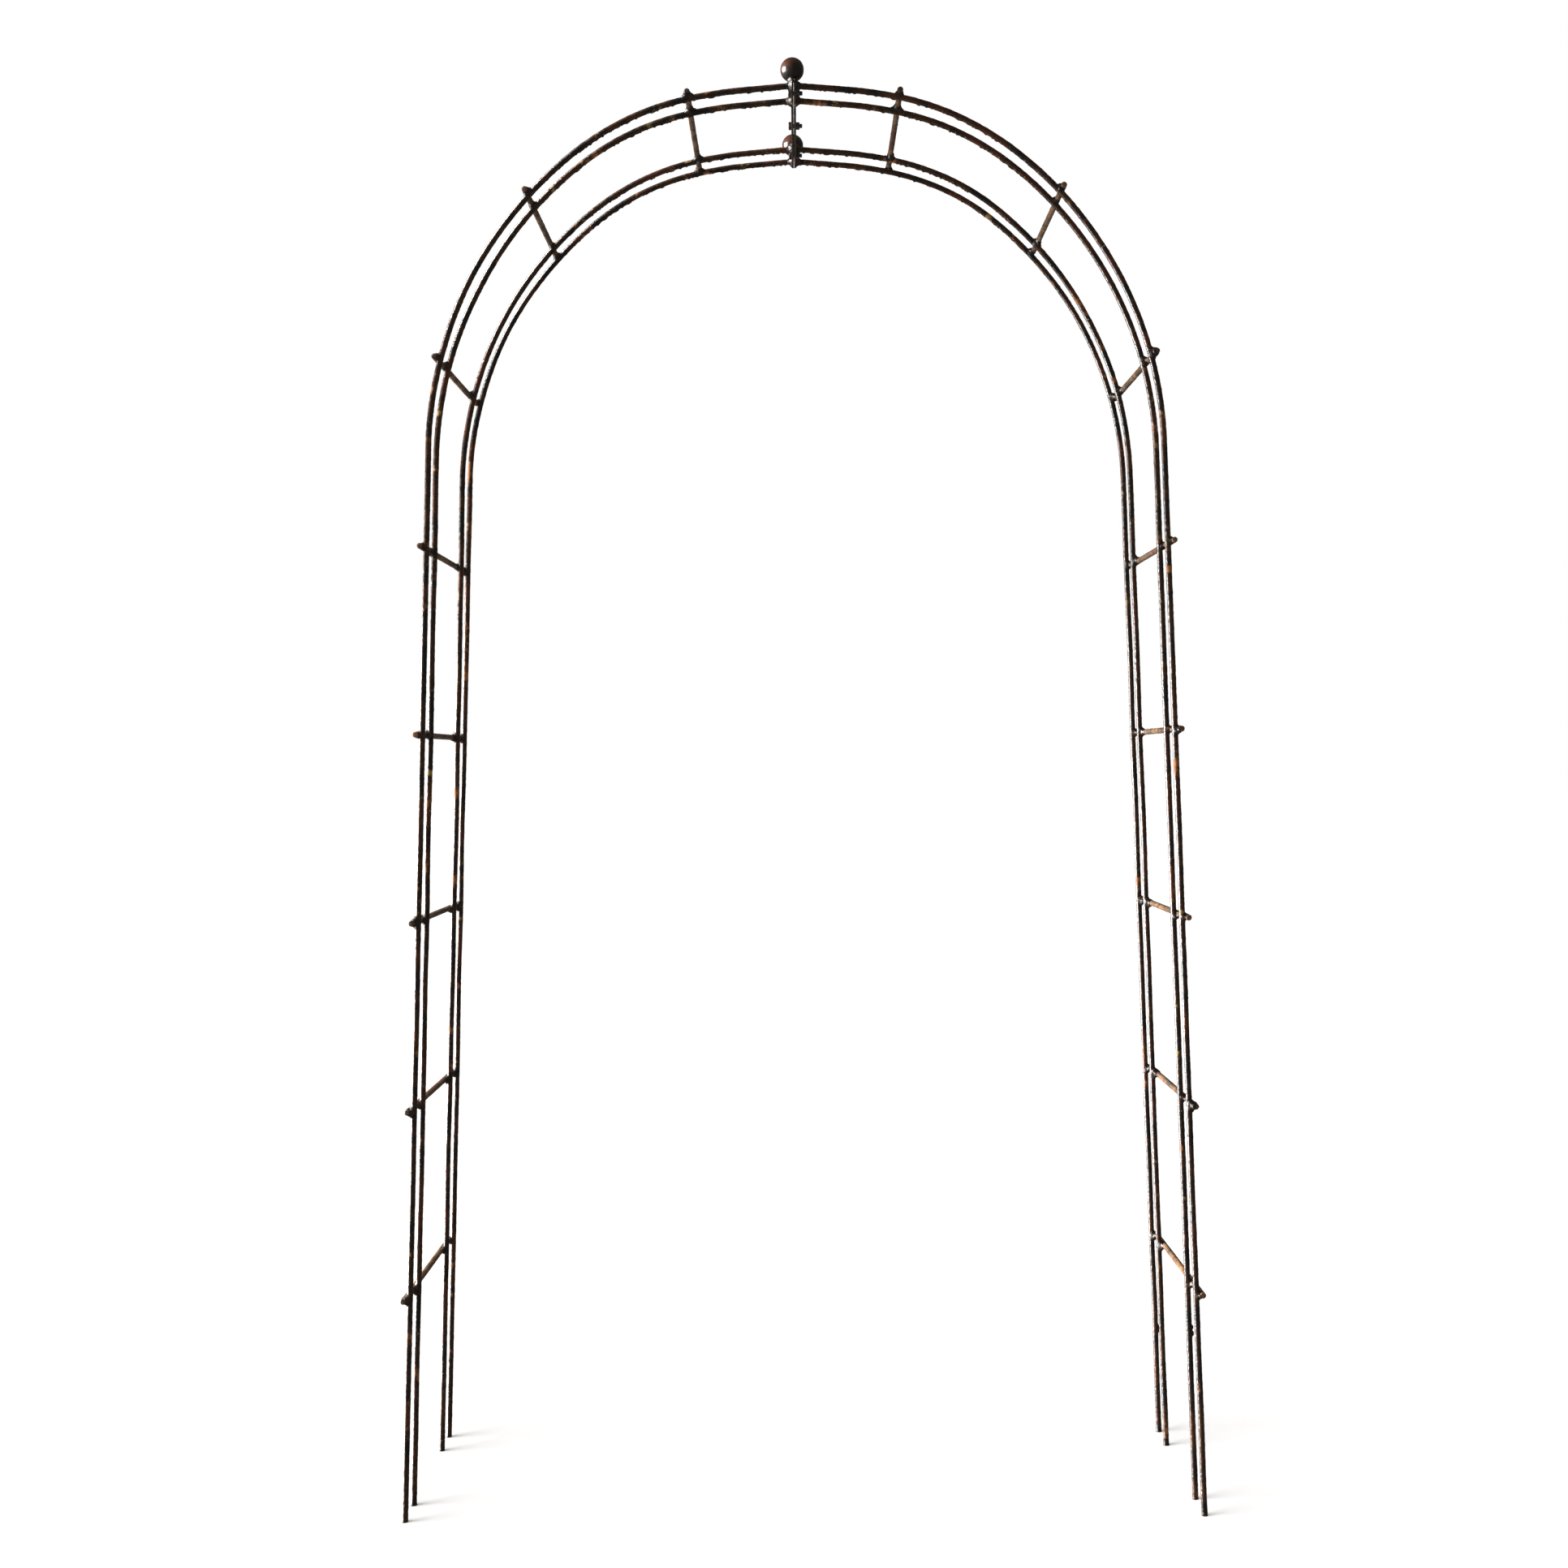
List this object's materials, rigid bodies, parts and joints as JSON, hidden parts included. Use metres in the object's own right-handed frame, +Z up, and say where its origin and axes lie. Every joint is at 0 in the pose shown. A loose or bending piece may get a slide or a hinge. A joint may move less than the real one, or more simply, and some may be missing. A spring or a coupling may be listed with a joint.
{
  "type": "metal trellis arch",
  "caption": "Freestanding garden trellis arch: two ladder halves of bent weathered round bar, bolted at the crown under a pair of ball finials.",
  "frame": {"origin": "on the ground under the middle of the arch", "axes": "+X across the walkway to the right half, +Y along the walkway to the rear, +Z up"},
  "size_m": [1.398, 0.428, 2.5377],
  "materials": {
    "weathered_bar": "dark brown-black weathered steel with patches of orange rust",
    "weathered_rung": "grey-brown weathered steel, a little lighter than the bars",
    "weathered_plate": "dark weathered flat steel",
    "weld": "near-black rough weld metal",
    "fastener": "dull dark zinc",
    "varnished_ball": "glossy varnished rust, red-brown above and near black below"
  },
  "bodies": {
    "root": {"left_bar_1": "weathered_bar", "left_bar_2": "weathered_bar", "left_bar_3": "weathered_bar", "left_bar_4": "weathered_bar", "left_rung_1": "weathered_rung", "left_rung_2": "weathered_rung", "left_rung_3": "weathered_rung", "left_rung_4": "weathered_rung", "left_rung_5": "weathered_rung", "left_rung_6": "weathered_rung", "left_rung_7": "weathered_rung", "left_rung_8": "weathered_rung", "left_crown_plate": "weathered_plate", "left_rung_welds": "weld", "left_crown_welds": "weld", "right_bar_1": "weathered_bar", "right_bar_2": "weathered_bar", "right_bar_3": "weathered_bar", "right_bar_4": "weathered_bar", "right_rung_1": "weathered_rung", "right_rung_2": "weathered_rung", "right_rung_3": "weathered_rung", "right_rung_4": "weathered_rung", "right_rung_5": "weathered_rung", "right_rung_6": "weathered_rung", "right_rung_7": "weathered_rung", "right_rung_8": "weathered_rung", "right_crown_plate": "weathered_plate", "right_rung_welds": "weld", "right_crown_welds": "weld", "crown_bolts": "fastener", "crown_nuts": "fastener", "front_finial": "varnished_ball", "rear_finial": "varnished_ball", "finial_welds": "weld"}
  },
  "joints": []
}
